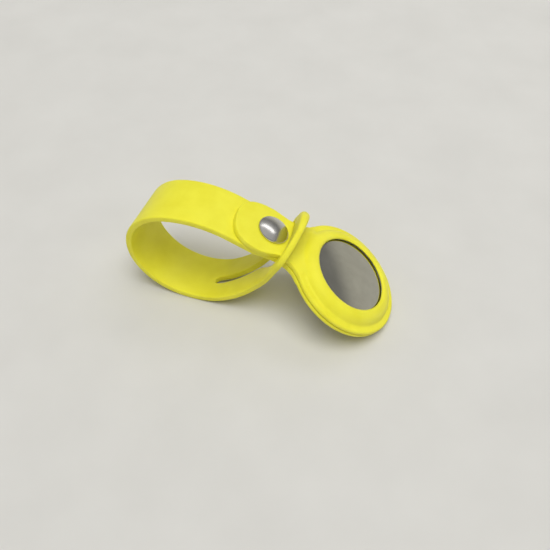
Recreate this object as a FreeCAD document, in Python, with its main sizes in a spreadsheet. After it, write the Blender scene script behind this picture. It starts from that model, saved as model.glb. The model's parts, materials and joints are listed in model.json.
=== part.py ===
import FreeCAD, Part
import Sketcher
import math
import os
import re

V = FreeCAD.Vector
Y_AXIS = V(0, 1, 0)
DOME = "dome"

# Driving sizes in millimetres and degrees
SIZES = {
    # holder ring, front and rear covers
    "ring_radius": 19.3, "rim_width": 3.15, "rim_half": 1.6, "rim_round": 0.8, "bead_width": 1.8,
    "crease_width": 0.7, "crease_rise": 0.48, "crown_inset": 5.7, "crown_drop": 0.05,
    "window_inset": 6.9, "lip_fall": 0.65, "lip_wall": 0.2, "front_crown": 4.6, "rear_crown": 4.95,
    "pocket_edge": 2.1, "parting_gap": 0.03,
    # neck, flap and strap
    "root_gap": 0.7, "neck_width": 15.6, "neck_droop": 7.0, "flare_radius": 10.0, "rim_sink": 0.12,
    "tongue_reach": 3.1, "hinge_gap": 0.06, "layer_gap": 0.05, "flap_thickness": 2.0,
    "flap_shoulder": 6.5, "flap_run": 1.0, "flap_width": 18.6, "flap_round": 0.6, "strap_width": 18.0,
    "strap_thickness": 2.0, "straight_run": 19.5, "taper_start": 4.5, "taper_run": 7.0,
    "loop_radius": 17.0, "rise_radius": 43.0, "end_radius": 73.0, "cross_gap": 1.6, "loop_yaw": 9.5,
    "end_yaw": 8.5, "loop_drift": 4.2, "end_height": 12.5, "slot_width": 2.8, "slot_depth": 31.5,
    "slot_clearance": 0.6,
    # press snap
    "snap_reach": 7.9, "cap_radius": 5.0, "cap_rim": 0.33, "cap_lip": 0.38, "cap_lip_rise": 0.53,
    "cap_rise": 1.95, "cap_post": 0.9, "cap_post_depth": 0.75, "socket_radius": 3.3,
    "socket_height": 1.3, "socket_bore": 2.25, "socket_roof": 0.3, "spring_radius": 2.08,
    "spring_wire": 0.13, "spring_level": 0.45, "spring_turn": 320.0, "stud_radius": 1.5,
    "stud_waist": 1.3, "stud_height": 0.9, "stud_waist_height": 0.4, "stud_flange": 1.9,
    "stud_flange_height": 0.18, "stud_shank": 1.1, "eyelet_radius": 3.8, "eyelet_height": 0.6,
    "eyelet_corner": 0.2, "snap_fit": 0.03,
    # tracker tag
    "tag_fit": 0.2, "tag_bottom": 4.15, "tag_wall": 0.9, "tag_seam": 0.05, "tag_edge_corner": 0.4,
    "tag_edge_low": 0.8, "tag_edge_high": 1.0, "tag_dome_level": 3.7, "tag_inner_floor": 3.45,
    "tag_inner_level": 3.1, "tray_floor": 1.05, "tray_floor_height": 0.45, "tray_seat": 2.2,
    "tray_rim": 3.05, "tray_rim_corner": 0.7, "disc_edge_level": 2.75, "disc_bow_level": 3.42,
    "disc_crown": 3.72, "disc_gauge": 0.3, "bayonet_low": 2.25, "bayonet_high": 2.7, "lug_width": 5.0,
    "lug_height": 0.3, "cell_low": 0.4, "cell_high": 2.65, "cell_can_gauge": 0.25, "cell_gasket": 0.5,
    "cell_gap": 0.03, "contact_gap": 0.02, "contact_gauge": 0.15, "contact_width": 4.0,
    "board_low": 1.85, "board_high": 1.3, "antenna_low": 2.3, "shield_length": 7.0,
    "shield_width": 3.6, "shield_height": 0.9, "magnet_low": 3.0, "magnet_high": 1.5,
    "yoke_high": 1.1, "coil_low": 3.25, "coil_high": 2.2,
}

# Sizes that follow from the others
FORMULAS = {
    "neck_root": "ring_radius + root_gap",
    "neck_half": "neck_width / 2",
    "flap_half": "flap_width / 2",
    "flare_rim": "ring_radius - rim_sink",
    "flare_reach": "sqrt((flare_rim + flare_radius)^2 - (neck_half + flare_radius)^2)",
    "flare_end": "flare_rim / (flare_rim + flare_radius)",
    "flare_foot": "(ring_radius - bead_width) / (flare_rim + flare_radius)",
    "flare_end_reach": "flare_end * flare_reach",
    "flare_end_side": "flare_end * (neck_half + flare_radius)",
    "flare_foot_reach": "flare_foot * flare_reach",
    "flare_foot_side": "flare_foot * (neck_half + flare_radius)",
    "root_rest": "max(flare_reach - neck_root; 0)",
    "root_side": "neck_half + flare_radius - sqrt(flare_radius^2 - root_rest^2)",
    "tongue_end": "neck_root + tongue_reach",
    "tongue_rest": "max(flare_reach - tongue_end; 0)",
    "tongue_side": "neck_half + flare_radius - sqrt(flare_radius^2 - tongue_rest^2)",
    "tag_radius": "ring_radius - rim_width - tag_fit",
    "tray_radius": "tag_radius - tag_wall - tag_seam",
}

# Hand-chosen radii of the tag's pieces as shares of the tag's radius
TAG_SHARES = {
    "tag_dome_share": 0.74, "tag_inner_share": 0.727, "tray_well_share": 0.715, "tray_rim_share": 0.865,
    "disc_share": 0.828, "disc_bow_share": 0.771, "disc_under_share": 0.809,
    "disc_under_bow_share": 0.752, "bayonet_outer_share": 0.821, "bayonet_inner_share": 0.665,
    "lug_share": 0.853, "cell_share": 0.627, "cell_cap_share": 0.539, "contact_share": 0.2,
    "contact_inner_share": 0.633, "contact_outer_share": 0.702, "board_inner_share": 0.376,
    "board_outer_share": 0.89, "antenna_inner_share": 0.715, "antenna_outer_share": 0.846,
    "magnet_share": 0.238, "yoke_share": 0.301, "coil_inner_share": 0.257, "coil_outer_share": 0.307,
}

# Turns of the strap path after the straight run, and of its slotted end
LOOP_TURNS_DEG = [43.0, 150.0, 47.0, 15.0]
CROSS_TURN_DEG = 13.0
LOOP_STEPS = [5, 12, 4, 2]
END_STEPS = 6
ARC_STEPS = 12

# Contacts beside the coin cell and lugs of the twist-off cover
CONTACT_ANGLE_DEG = 50.0
LUG_COUNT = 3

# Hand-chosen outline of the slotted end, in shares of the strap width toward the near side and up
NEAR_EDGE_SHARES = [(0.6, -0.56), (0.67, -0.2), (0.675, 0.06), (0.61, 0.22), (0.48, 0.35), (0.33, 0.45),
                    (0.15, 0.53), (-0.05, 0.56), (-0.25, 0.53), (-0.45, 0.44)]
FAR_EDGE_SHARES = [(-0.51, -0.75), (-0.54, -0.5), (-0.59, -0.26), (-0.625, -0.04), (-0.63, 0.13)]
TIP_SHARE = (-0.57, 0.31)

# Hand-chosen opening of the slot round the neck, as shares of its half width and half height there
SLOT_SHARES = [(0.3, -4.2), (0.72, -2.2), (1.0, -0.9), (1.03, 0.5), (0.86, 1.12), (0.35, 1.2),
               (-0.35, 1.2), (-0.86, 1.12), (-1.03, 0.4), (-1.0, -0.8), (-0.76, -1.75), (-0.36, -3.0)]

doc = FreeCAD.newDocument("tracker_tag_holder")
sheet = doc.addObject("Spreadsheet::Sheet", "sheet")
cells = [(alias, str(value)) for alias, value in SIZES.items()]
cells += [(alias, "=" + formula) for alias, formula in FORMULAS.items()]
for name, share in TAG_SHARES.items():
    cells.append((name.replace("_share", "_radius"), "=tag_radius * %s" % share))
for row, (alias, content) in enumerate(cells, 1):
    sheet.set("A%d" % row, alias)
    sheet.set("B%d" % row, content)
    sheet.setAlias("B%d" % row, alias)
doc.recompute()


def size(text):
    """Value of a sum of sheet sizes, such as "ring_radius - rim_round"."""
    total = 0.0
    sign = 1.0
    for word in text.split():
        if word in "+-":
            sign = -1.0 if word == "-" else 1.0
        elif word != "0":
            total += sign * float(sheet.get(word))
            sign = 1.0
    return total


def bound(text):
    """The same sum written for an expression."""
    return re.sub(r"[a-z_]+", lambda found: "sheet." + found.group(), text)


def own_plane(body, role):
    return next(item for item in body.Origin.OriginFeatures if item.Role == role)


def new_sketch(body, role, lift):
    sketch = body.newObject("Sketcher::SketchObject", body.Label + "_sketch")
    sketch.AttachmentSupport = [(own_plane(body, role), "")]
    sketch.MapMode = "FlatFace"
    if lift != "0":
        sketch.setExpression("AttachmentOffset.Base.z", bound(lift))
    return sketch


def hold(sketch, kind, edge, vertex, text):
    """Ties a corner to the origin along one axis."""
    if text == "0":
        axis = -2 if kind == "DistanceX" else -1
        sketch.addConstraint(Sketcher.Constraint("PointOnObject", edge, vertex, axis))
        return
    index = sketch.addConstraint(Sketcher.Constraint(kind, -1, 1, edge, vertex, size(text)))
    sketch.setExpression("Constraints[%d]" % index, bound(text))


def arc_centre(start, stop, turn):
    """Centre of the arc that turns left by so many degrees between two points, or right if negative."""
    run = stop - start
    reach = 0.5 / math.tan(math.radians(turn) / 2)
    return start + run * 0.5 + V(-run.y, run.x, 0) * reach


def dome_turn(start, stop):
    """Turn of the arc between two points whose centre lies on the axis that one of them is on."""
    level = (stop.y ** 2 - start.y ** 2 + stop.x ** 2 - start.x ** 2) / (2 * (stop.y - start.y))
    return math.degrees(math.atan2(stop.y - level, stop.x) - math.atan2(start.y - level, start.x))


def arc_edge(start, stop, turn):
    """Sketch arc, with the numbers of its ends at the start and at the stop."""
    centre = arc_centre(start, stop, turn)
    first, last = (start, stop) if turn > 0 else (stop, start)
    low = math.atan2(first.y - centre.y, first.x - centre.x)
    circle = Part.Circle(centre, V(0, 0, 1), centre.distanceToPoint(start))
    arc = Part.ArcOfCircle(circle, low, low + math.radians(abs(turn)))
    return arc, ((1, 2) if turn > 0 else (2, 1))


def outline(sketch, corners):
    """Closed outline; a corner is two sums of sheet sizes, then a turn or DOME if an arc follows it."""
    spots = [V(size(corner[0]), size(corner[1]), 0) for corner in corners]
    count = len(spots)
    first = sketch.GeometryCount
    ends = []
    for i, corner in enumerate(corners):
        stop = spots[(i + 1) % count]
        if len(corner) > 2:
            turn = dome_turn(spots[i], stop) if corner[2] == DOME else corner[2]
            edge, numbers = arc_edge(spots[i], stop, turn)
        else:
            edge, numbers = Part.LineSegment(spots[i], stop), (1, 2)
        sketch.addGeometry(edge, False)
        ends.append(numbers)
    for i, corner in enumerate(corners):
        after = (i + 1) % count
        joined = (first + i, ends[i][1], first + after, ends[after][0])
        sketch.addConstraint(Sketcher.Constraint("Coincident", *joined))
        if len(corner) > 2 and corner[2] == DOME:
            sketch.addConstraint(Sketcher.Constraint("PointOnObject", first + i, 3, -2))
        elif len(corner) > 2:
            sketch.addConstraint(Sketcher.Constraint("Angle", first + i, math.radians(abs(corner[2]))))
        hold(sketch, "DistanceX", first + i, ends[i][0], corner[0])
        hold(sketch, "DistanceY", first + i, ends[i][0], corner[1])


def new_body(label, placement):
    body = doc.addObject("PartDesign::Body", label)
    body.Label = label
    body.Placement = placement
    return body


def turned(label, placement, corners):
    """Body of revolution about its own Z axis; corners are radius and level."""
    body = new_body(label, placement)
    sketch = new_sketch(body, "XZ_Plane", "0")
    outline(sketch, corners)
    doc.recompute()
    spin = body.newObject("PartDesign::Revolution", label + "_spin")
    spin.Profile = sketch
    spin.ReferenceAxis = (sketch, ["V_Axis"])
    doc.recompute()
    return body


def pad(body, role, corners, length, lift="0", reverse=False, midplane=False):
    sketch = new_sketch(body, role, lift)
    outline(sketch, corners)
    doc.recompute()
    block = body.newObject("PartDesign::Pad", body.Label + "_pad")
    block.Profile = sketch
    block.setExpression("Length", bound(length))
    block.Midplane = midplane
    block.Reversed = reverse
    doc.recompute()
    return block


def soften(body, radius, wanted):
    """Rounds the edges of a body that a test picks out."""
    tip = body.Tip
    names = ["Edge%d" % (i + 1) for i, edge in enumerate(tip.Shape.Edges) if wanted(edge)]
    fillet = body.newObject("PartDesign::Fillet", body.Label + "_round")
    fillet.Base = (tip, names)
    fillet.setExpression("Radius", bound(radius))
    doc.recompute()


# Strap path in the ring's own frame: reach toward the flap, rise above the parting plane
def arc_step(heading, turn):
    a = math.radians(heading)
    b = math.radians(heading + turn)
    return (math.sin(b) - math.sin(a), math.cos(b) - math.cos(a))


def solved_loop():
    """Radii of the strap's arcs, the first and third solved so that its end crosses the neck."""
    heading = size("neck_droop")
    steps = []
    for turn in LOOP_TURNS_DEG + [CROSS_TURN_DEG]:
        steps.append(arc_step(heading, turn))
        heading += turn
    slope = math.radians(size("neck_droop"))
    fixed = [(size("straight_run"), (math.cos(slope), -math.sin(slope))),
             (size("loop_radius"), steps[1]), (size("rise_radius"), steps[3]),
             (size("end_radius"), steps[4])]
    reach = size("cross_gap") - sum(length * step[0] for length, step in fixed)
    rise = half_strap - sum(length * step[1] for length, step in fixed)
    spread = steps[0][0] * steps[2][1] - steps[2][0] * steps[0][1]
    first = (reach * steps[2][1] - steps[2][0] * rise) / spread
    third = (steps[0][0] * rise - reach * steps[0][1]) / spread
    return [first, size("loop_radius"), third, size("rise_radius"), size("end_radius")]


half_strap = size("strap_thickness") / 2
half_width = size("strap_width") / 2
loop_radii = solved_loop()


class Stop:
    """A place on the strap path: reach, rise and heading."""

    def __init__(self, reach, rise, heading):
        self.reach = reach
        self.rise = rise
        self.heading = heading

    def along(self, radius, turn):
        step = arc_step(self.heading, turn)
        return Stop(self.reach + radius * step[0], self.rise + radius * step[1], self.heading + turn)

    def ahead(self, length):
        a = math.radians(self.heading)
        return Stop(self.reach + length * math.cos(a), self.rise - length * math.sin(a), self.heading)

    def centre(self, radius):
        a = math.radians(self.heading)
        return (self.reach - radius * math.sin(a), self.rise - radius * math.cos(a))

    def tangent(self):
        a = math.radians(self.heading)
        return V(-math.cos(a), 0, -math.sin(a))

    def point(self, outward):
        """Point of the ring's frame, moved outward across the strap."""
        a = math.radians(self.heading)
        return V(-self.reach - outward * math.sin(a), 0, self.rise + outward * math.cos(a))


root = Stop(size("neck_root"), -half_strap, size("neck_droop"))
stops = [root, root.ahead(size("straight_run"))]
for radius, turn in zip(loop_radii, LOOP_TURNS_DEG):
    stops.append(stops[-1].along(radius, turn))

# Section of the front cover: rim, bead, crease, dome, lip of the window and the pocket inside
POCKET = "ring_radius - rim_width"
WINDOW = "ring_radius - window_inset"
FRONT = [(POCKET, "parting_gap"),
         ("ring_radius", "parting_gap"),
         ("ring_radius", "rim_half - rim_round", 90),
         ("ring_radius - rim_round", "rim_half"),
         ("ring_radius - bead_width", "rim_half", -68),
         ("ring_radius - bead_width - crease_width", "rim_half + crease_rise", 62),
         ("ring_radius - crown_inset", "front_crown - crown_drop", 70),
         (WINDOW, "front_crown - lip_fall"),
         (WINDOW, "front_crown - lip_fall - lip_wall", -40),
         (POCKET, "pocket_edge")]


def negative(text):
    """The same sum of sizes with its sign turned round."""
    flipped = [{"+": "-", "-": "+"}.get(word, word) for word in text.split()]
    return "0 - " + " ".join(flipped)


def mirrored(corner):
    """A corner of the front section, for the rear cover with its own crown."""
    level = negative(corner[1].replace("front_crown", "rear_crown"))
    return (corner[0], level) + tuple(-turn for turn in corner[2:])


REAR = [mirrored(corner) for corner in FRONT]


def traced(corners):
    """Points along an outline, with its arcs divided."""
    spots = [V(size(corner[0]), size(corner[1]), 0) for corner in corners]
    found = []
    for i, corner in enumerate(corners):
        found.append(spots[i])
        if len(corner) > 2:
            centre = arc_centre(spots[i], spots[(i + 1) % len(spots)], corner[2])
            arm = spots[i] - centre
            for step in range(1, ARC_STEPS):
                turn = FreeCAD.Rotation(V(0, 0, 1), corner[2] * step / ARC_STEPS)
                found.append(centre + turn.multVec(arm))
    return found


rear_points = traced(REAR)


# The ring and the loop both touch the floor: the tilt is found by halving
def ring_drop(tilt):
    a = math.radians(tilt)
    return max(point.x * math.sin(a) - point.y * math.cos(a) for point in rear_points)


def loop_drop(tilt):
    a = math.radians(tilt)
    reach, rise = stops[3].centre(loop_radii[2])
    return loop_radii[2] + half_strap - reach * math.sin(a) - rise * math.cos(a)


low_tilt = 10.0
high_tilt = 70.0
for step in range(50):
    tilt = (low_tilt + high_tilt) / 2
    if loop_drop(tilt) > ring_drop(tilt):
        low_tilt = tilt
    else:
        high_tilt = tilt

lean = math.radians(tilt)
bend = [stops[2].along(loop_radii[1], step) for step in range(int(LOOP_TURNS_DEG[1]))]
loop_left = max(stop.reach * math.cos(lean) - stop.rise * math.sin(lean) for stop in bend)
yaw_reach = half_width * math.sin(math.radians(size("loop_yaw")))
ring_right = size("ring_radius") * math.cos(lean) + size("rim_half - rim_round") * math.sin(lean)
ring_x = (loop_left + half_strap + yaw_reach - ring_right) / 2
ring_place = FreeCAD.Placement(V(ring_x, 0, ring_drop(tilt)), FreeCAD.Rotation(Y_AXIS, tilt))
neck_turn = FreeCAD.Rotation(Y_AXIS, -size("neck_droop"))
neck_in_ring = FreeCAD.Placement(root.point(half_strap), neck_turn)
neck_place = ring_place.multiply(neck_in_ring)
snap_place = neck_place.multiply(FreeCAD.Placement(V(-size("snap_reach"), 0, 0), FreeCAD.Rotation()))

# Front and rear covers of the ring
front_cover = turned("front_cover", ring_place, FRONT)
rear_cover = turned("rear_cover", ring_place, REAR)


def neck_plate(body, reach, side, thickness, lift, reverse):
    """Plate from the rim to a reach along the neck, flared into the rim on both sides."""
    flare = math.degrees(math.atan2(size("flare_reach"), size("neck_half + flare_radius")))
    rest = max(size("flare_reach") - size(reach), 0)
    turn = math.degrees(math.asin(rest / size("flare_radius"))) - flare
    tip = negative(reach)
    foot = [("0 - flare_end_reach", "0 - flare_end_side"),
            ("0 - flare_foot_reach", "0 - flare_foot_side", 2 * flare - 180),
            ("0 - flare_foot_reach", "flare_foot_side"), ("0 - flare_end_reach", "flare_end_side", turn)]
    if rest > 0:
        corners = [(tip, negative(side), turn)] + foot + [(tip, side)]
    else:
        corners = [(tip, negative(side)), ("0 - flare_reach", "0 - neck_half", turn)] + foot
        corners += [("0 - flare_reach", "neck_half"), (tip, side)]
    pad(body, "XY_Plane", corners, thickness, lift, reverse)


# Tongue of the front cover up to the hinge line of the flap, and tab of the rear cover up to the strap
plate_thickness = "rim_half - parting_gap - rim_sink"
neck_plate(front_cover, "tongue_end", "tongue_side", plate_thickness, "parting_gap", False)
neck_plate(rear_cover, "neck_root - layer_gap", "root_side", plate_thickness, "0 - parting_gap", True)

# Snap flap in the neck's frame: it widens from the hinge line and ends in a half round
flap = new_body("snap_flap", neck_place)
flap_start = "0 - tongue_reach - hinge_gap"
flap_wide = flap_start + " - flap_shoulder"
flap_bend = flap_wide + " - flap_run"
pad(flap, "XY_Plane",
    [(flap_start, "neck_half"), (flap_wide, "flap_half"), (flap_bend, "flap_half", 180),
     (flap_bend, "0 - flap_half"), (flap_wide, "0 - flap_half"), (flap_start, "0 - neck_half")],
    "flap_thickness - layer_gap", "layer_gap")
flap_front = size(flap_start) - size("hinge_gap")
soften(flap, "flap_round",
       lambda edge: edge.BoundBox.ZMin > half_strap and edge.BoundBox.XMin < flap_front)


def bore(body, radius, low, high):
    """Round hole through a body on the snap's axis, between two levels."""
    tool = body.newObject("PartDesign::SubtractiveCylinder", body.Label + "_bore")
    tool.setExpression("Radius", bound(radius))
    tool.setExpression("Height", bound(high + " - " + low))
    tool.setExpression("Placement.Base.x", bound("0 - snap_reach"))
    tool.setExpression("Placement.Base.z", bound(low))
    doc.recompute()


bore(flap, "socket_radius + snap_fit", "0", "layer_gap + socket_height + snap_fit")
bore(flap, "cap_post + snap_fit", "0", "flap_thickness + flap_thickness")

# Strap: tapered neck run, ruled loop and slotted end, built in the ring's frame from the sheet's sizes
UPRIGHT = V(math.cos(lean), 0, math.sin(lean))


def near_side(yaw):
    """Level direction across the strap toward the near side, turned about the upright."""
    return V(0, -math.cos(yaw), 0) - UPRIGHT * math.sin(yaw)


def loop_stops():
    found = []
    place = stops[1]
    for radius, turn, count in zip(loop_radii, LOOP_TURNS_DEG, LOOP_STEPS):
        for step in range(count):
            found.append(place.along(radius, turn * step / count))
        place = place.along(radius, turn)
    return found + [place]


places = loop_stops()
lengths = [0.0]
for before, after in zip(places, places[1:]):
    lengths.append(lengths[-1] + before.point(0).distanceToPoint(after.point(0)))


def spline_edge(points, **ends):
    curve = Part.BSplineCurve()
    curve.interpolate(points, **ends)
    return curve.toShape()


def loop_rail(side, layer):
    """One long edge of the loop: side is -1 for far and 1 for near, layer is 1 for the outer face."""
    points = []
    for place, length in zip(places, lengths):
        swell = math.sin(math.pi * length / lengths[-1]) ** 2
        across = near_side(math.radians(size("loop_yaw")) * swell)
        drift = V(0, size("loop_drift") * swell, 0)
        points.append(place.point(layer * half_strap) + drift + across * (side * half_width))
    return spline_edge(points, InitialTangent=places[0].tangent(), FinalTangent=places[-1].tangent())


join = places[-1]
end_turn = math.degrees((size("end_height") - join.rise) / size("end_radius"))
end_places = []
for step in range(END_STEPS + 1):
    end_places.append(join.along(size("end_radius"), end_turn * step / END_STEPS))


def end_rail(side, layer):
    """One long edge of the slotted end's sheet; it turns as it comes up to the neck."""
    points = []
    for place in end_places:
        climb = min(1.0, (place.rise - join.rise) / -join.rise)
        yaw = math.radians(size("end_yaw")) * climb * climb * (3 - 2 * climb)
        across = V(-math.sin(yaw), -math.cos(yaw), 0)
        points.append(place.point(layer * half_strap) + across * (side * size("strap_width")))
    return spline_edge(points, InitialTangent=join.tangent(), FinalTangent=end_places[-1].tangent())


def end_cap(edges, last):
    ends = [edge.Vertexes[last].Point for edge in edges]
    return Part.Face(Part.makePolygon(ends + ends[:1]))


def ruled_solid(rail):
    """Solid between four long edges taken in order round the section."""
    edges = [rail(side, layer) for side, layer in ((1, 1), (-1, 1), (-1, -1), (1, -1))]
    faces = [Part.makeRuledSurface(edges[i], edges[(i + 1) % 4]) for i in range(4)]
    faces += [end_cap(edges, 0), end_cap(edges, -1)]
    shell = Part.makeShell(faces)
    shell.sewShape()
    solid = Part.makeSolid(shell)
    if solid.Volume < 0:
        solid.reverse()
    return solid


def closed_prism(points, direction):
    return Part.Face(Part.makePolygon(points + points[:1])).extrude(direction)


# Neck run: narrow where the slot passes over it, then as wide as the strap
def run_edge(side):
    start = size("taper_start")
    end = start + size("taper_run")
    shape = [(0, size("root_side")), (start / 2, size("neck_half")), (start, size("neck_half")),
             ((start + end) / 2, (size("neck_half") + half_width) / 2), (end, half_width)]
    points = [V(-reach, side * half, 0) for reach, half in shape]
    wavy = spline_edge(points, FinalTangent=V(-1, 0, 0))
    straight = Part.makeLine(points[-1], V(-size("straight_run"), side * half_width, 0))
    return [wavy, straight]


run_edges = run_edge(1) + run_edge(-1)
for run in (0, size("straight_run")):
    half = half_width if run else size("root_side")
    run_edges.append(Part.makeLine(V(-run, half, 0), V(-run, -half, 0)))
run_face = Part.Face(Part.Wire(Part.__sortEdges__(run_edges)))
neck_run = run_face.extrude(V(0, 0, -size("strap_thickness")))
neck_run.Placement = neck_in_ring
loop = ruled_solid(loop_rail)

# Outline of the slotted end, seen along the neck
below = join.rise - size("strap_thickness")
ahead = V(-size("neck_root") - size("strap_width"), 0, 0)
through = V(size("strap_width") + size("strap_width"), 0, 0)


def spot(toward_near, up):
    return ahead + V(0, -toward_near, up)


def scaled(shares, across, up, middle):
    return [spot(share[0] * across, middle + share[1] * up) for share in shares]


width = size("strap_width")
tip = scaled([TIP_SHARE], width, width, 0)[0]
near_line = [spot(half_width, join.rise)] + scaled(NEAR_EDGE_SHARES, width, width, 0) + [tip]
far_line = [spot(-half_width, join.rise)] + scaled(FAR_EDGE_SHARES, width, width, 0) + [tip]
tip_run = V(0, TIP_SHARE[1], TIP_SHARE[0])
edges = [spline_edge(near_line, InitialTangent=V(0, 0, 1), FinalTangent=tip_run),
         spline_edge(far_line, InitialTangent=V(0, 0, 1), FinalTangent=-tip_run)]
edges += Part.makePolygon([spot(half_width, join.rise), spot(half_width, below),
                           spot(-half_width, below), spot(-half_width, join.rise)]).Edges
trim = Part.Face(Part.Wire(Part.__sortEdges__(edges))).extrude(through)

# Slot: straight along the loop's bottom, opened round the neck
neck_low = -size("strap_thickness") - size("slot_clearance") * 2
neck_high = size("flap_thickness") + size("slot_clearance")
slot_half = size("slot_width") / 2
open_half = size("neck_half + slot_clearance")
slot_up = (neck_high - neck_low) / 2
slot_middle = (neck_high + neck_low) / 2
opening = [spot(slot_half, join.rise)] + scaled(SLOT_SHARES, open_half, slot_up, slot_middle)
opening += [spot(-slot_half, join.rise)]
opening_edges = [spline_edge(opening, InitialTangent=V(0, 0, 1), FinalTangent=V(0, 0, -1))]
opening_edges += Part.makePolygon([opening[-1], spot(-slot_half, below), spot(slot_half, below),
                                   opening[0]]).Edges
opened = Part.Face(Part.Wire(Part.__sortEdges__(opening_edges))).extrude(through)
end_sheet = ruled_solid(end_rail).common(trim).cut(opened)

slot_foot = -size("slot_depth")
slot_head = join.rise + half_width
slot_tool = closed_prism([spot(slot_half, slot_foot), spot(slot_half, slot_head),
                          spot(-slot_half, slot_head), spot(-slot_half, slot_foot)], through)
foot_round = Part.makeCylinder(slot_half, through.Length, spot(0, slot_foot), V(1, 0, 0))
loop = loop.cut(slot_tool.fuse(foot_round))

strap_shape = neck_run.fuse([loop, end_sheet]).removeSplitter()
hole_axis = neck_turn.multVec(V(0, 0, 1))
hole_at = root.point(half_strap) + neck_turn.multVec(V(-size("snap_reach"), 0, 0))
hole = Part.makeCylinder(size("stud_shank + snap_fit"), size("strap_thickness") * 2,
                         hole_at - hole_axis * (size("strap_thickness") * 1.5), hole_axis)
strap = doc.addObject("Part::Feature", "strap")
strap.Shape = strap_shape.cut(hole)
strap.Placement = ring_place
strap.Label = "strap"

# Press snap: cap, socket and spring on the flap, stud and eyelet on the strap
cap_base = "flap_thickness + snap_fit"
post_end = "flap_thickness - cap_post_depth"
turned("snap_cap", snap_place,
       [("0", post_end), ("cap_post", post_end), ("cap_post", cap_base),
        ("cap_radius - cap_rim", cap_base, 90), ("cap_radius", cap_base + " + cap_rim", 66),
        ("cap_radius - cap_lip", cap_base + " + cap_rim + cap_lip_rise", DOME),
        ("0", cap_base + " + cap_rise")])
socket_top = "layer_gap + socket_height"
socket_roof = socket_top + " - socket_roof"
turned("snap_socket", snap_place,
       [("cap_post + snap_fit", socket_top), ("cap_post + snap_fit", socket_roof),
        ("socket_bore", socket_roof), ("socket_bore", "layer_gap + snap_fit"),
        ("socket_radius", "layer_gap + snap_fit"), ("socket_radius", socket_top)])
spring = doc.addObject("Part::Torus", "snap_spring")
spring.setExpression("Radius1", bound("spring_radius"))
spring.setExpression("Radius2", bound("spring_wire"))
spring.setExpression("Angle3", bound("spring_turn"))
spring_lift = FreeCAD.Placement(V(0, 0, size("spring_level")), FreeCAD.Rotation())
spring.Placement = snap_place.multiply(spring_lift)
turned("snap_stud", snap_place,
       [("0", "0 - strap_thickness"), ("stud_shank", "0 - strap_thickness"), ("stud_shank", "snap_fit"),
        ("stud_flange", "snap_fit"), ("stud_flange", "stud_flange_height"),
        ("stud_waist", "stud_flange_height"), ("stud_waist", "stud_waist_height"),
        ("stud_radius", "stud_waist_height + spring_wire"),
        ("stud_radius", "stud_height - eyelet_corner"), ("stud_waist", "stud_height"),
        ("0", "stud_height")])
turned("snap_eyelet", snap_place,
       [("0", "0 - strap_thickness - eyelet_height"),
        ("eyelet_radius - eyelet_corner", "0 - strap_thickness - eyelet_height"),
        ("eyelet_radius", "0 - strap_thickness - eyelet_height + eyelet_corner"),
        ("eyelet_radius", "0 - strap_thickness - snap_fit"), ("0", "0 - strap_thickness - snap_fit")])

# Tracker tag: shell, tray and the pieces between them
shell_top = "tag_edge_high + tag_edge_corner"
turned("tag_shell", ring_place,
       [("0", "0 - tag_bottom", DOME), ("tag_dome_radius", "0 - tag_dome_level", 70),
        ("tag_radius", "0 - tag_edge_low"), ("tag_radius", "tag_edge_high", 90),
        ("tag_radius - tag_edge_corner", shell_top), ("tag_radius - tag_wall", shell_top),
        ("tag_radius - tag_wall", "0 - board_high", -62),
        ("tag_inner_radius", "0 - tag_inner_level", DOME), ("0", "0 - tag_inner_floor")])
tray_top = "0 - tray_floor + tray_floor_height"
turned("tag_tray", ring_place,
       [("0", "0 - tray_floor"), ("tray_radius", "0 - tray_floor"),
        ("tray_radius", "tray_rim - tray_rim_corner", 90),
        ("tray_radius - tray_rim_corner", "tray_rim"), ("tray_rim_radius", "tray_rim"),
        ("tray_rim_radius", "tray_seat"), ("tray_well_radius", "tray_seat"),
        ("tray_well_radius", tray_top), ("0", tray_top)])


def ring_block(label, inner, outer, low, high):
    """Plain ring, or a disc where the inner radius is 0."""
    turned(label, ring_place, [(inner, low), (outer, low), (outer, high), (inner, high)])


under_board = "0 - board_low - cell_gap"
ring_block("circuit_board", "board_inner_radius", "board_outer_radius", "0 - board_low", "0 - board_high")
ring_block("antenna_frame", "antenna_inner_radius", "antenna_outer_radius", "0 - antenna_low", under_board)
ring_block("speaker_magnet", "0", "magnet_radius", "0 - magnet_low", "0 - magnet_high")
ring_block("speaker_yoke", "0", "yoke_radius", "0 - magnet_high + cell_gap", "0 - yoke_high")
ring_block("voice_coil", "coil_inner_radius", "coil_outer_radius", "0 - coil_low", "0 - coil_high")
shield = new_body("shield_can", ring_place)
shield_start = "board_inner_radius + cell_gasket"
shield_end = shield_start + " + shield_width"
pad(shield, "XZ_Plane",
    [(shield_start, under_board), (shield_end, under_board),
     (shield_end, "0 - board_low - shield_height"), (shield_start, "0 - board_low - shield_height")],
    "shield_length", midplane=True)

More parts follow.
